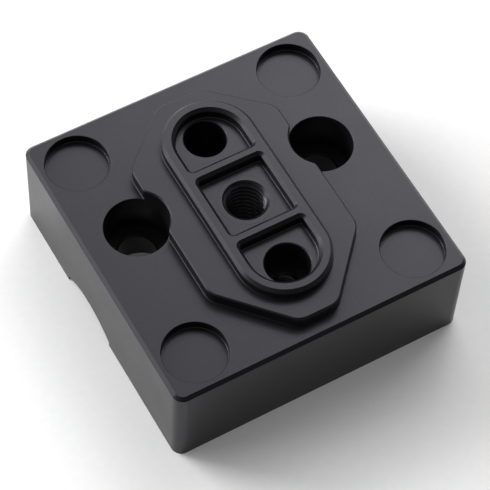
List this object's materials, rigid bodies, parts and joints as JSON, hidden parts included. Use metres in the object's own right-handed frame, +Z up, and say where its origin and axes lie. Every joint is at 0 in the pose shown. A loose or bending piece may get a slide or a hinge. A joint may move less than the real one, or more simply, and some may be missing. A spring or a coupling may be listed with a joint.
{
  "type": "mounting block",
  "caption": "Square black metal mounting block with counterbored fixing holes, round recesses and a raised octagonal plate that carries a stadium key with a central thread.",
  "frame": {"origin": "middle of the underside", "axes": "+Z up through the key, the two fixing holes in line along X, the key's long axis along Y"},
  "size_m": [0.072, 0.072, 0.0308],
  "materials": {
    "black_anodised": "fine bead-blasted, black anodised",
    "black_oxide_steel": "machined, black oxide",
    "ground_steel": "ground"
  },
  "bodies": {
    "root": {"base_block": "black_anodised", "raised_plate": "black_anodised", "locating_key": "black_anodised", "centre_bush": "black_anodised", "upper_bush": "black_oxide_steel", "lower_bush": "black_oxide_steel", "clamp_screws": "black_oxide_steel", "dowel_pins": "ground_steel"}
  },
  "joints": []
}
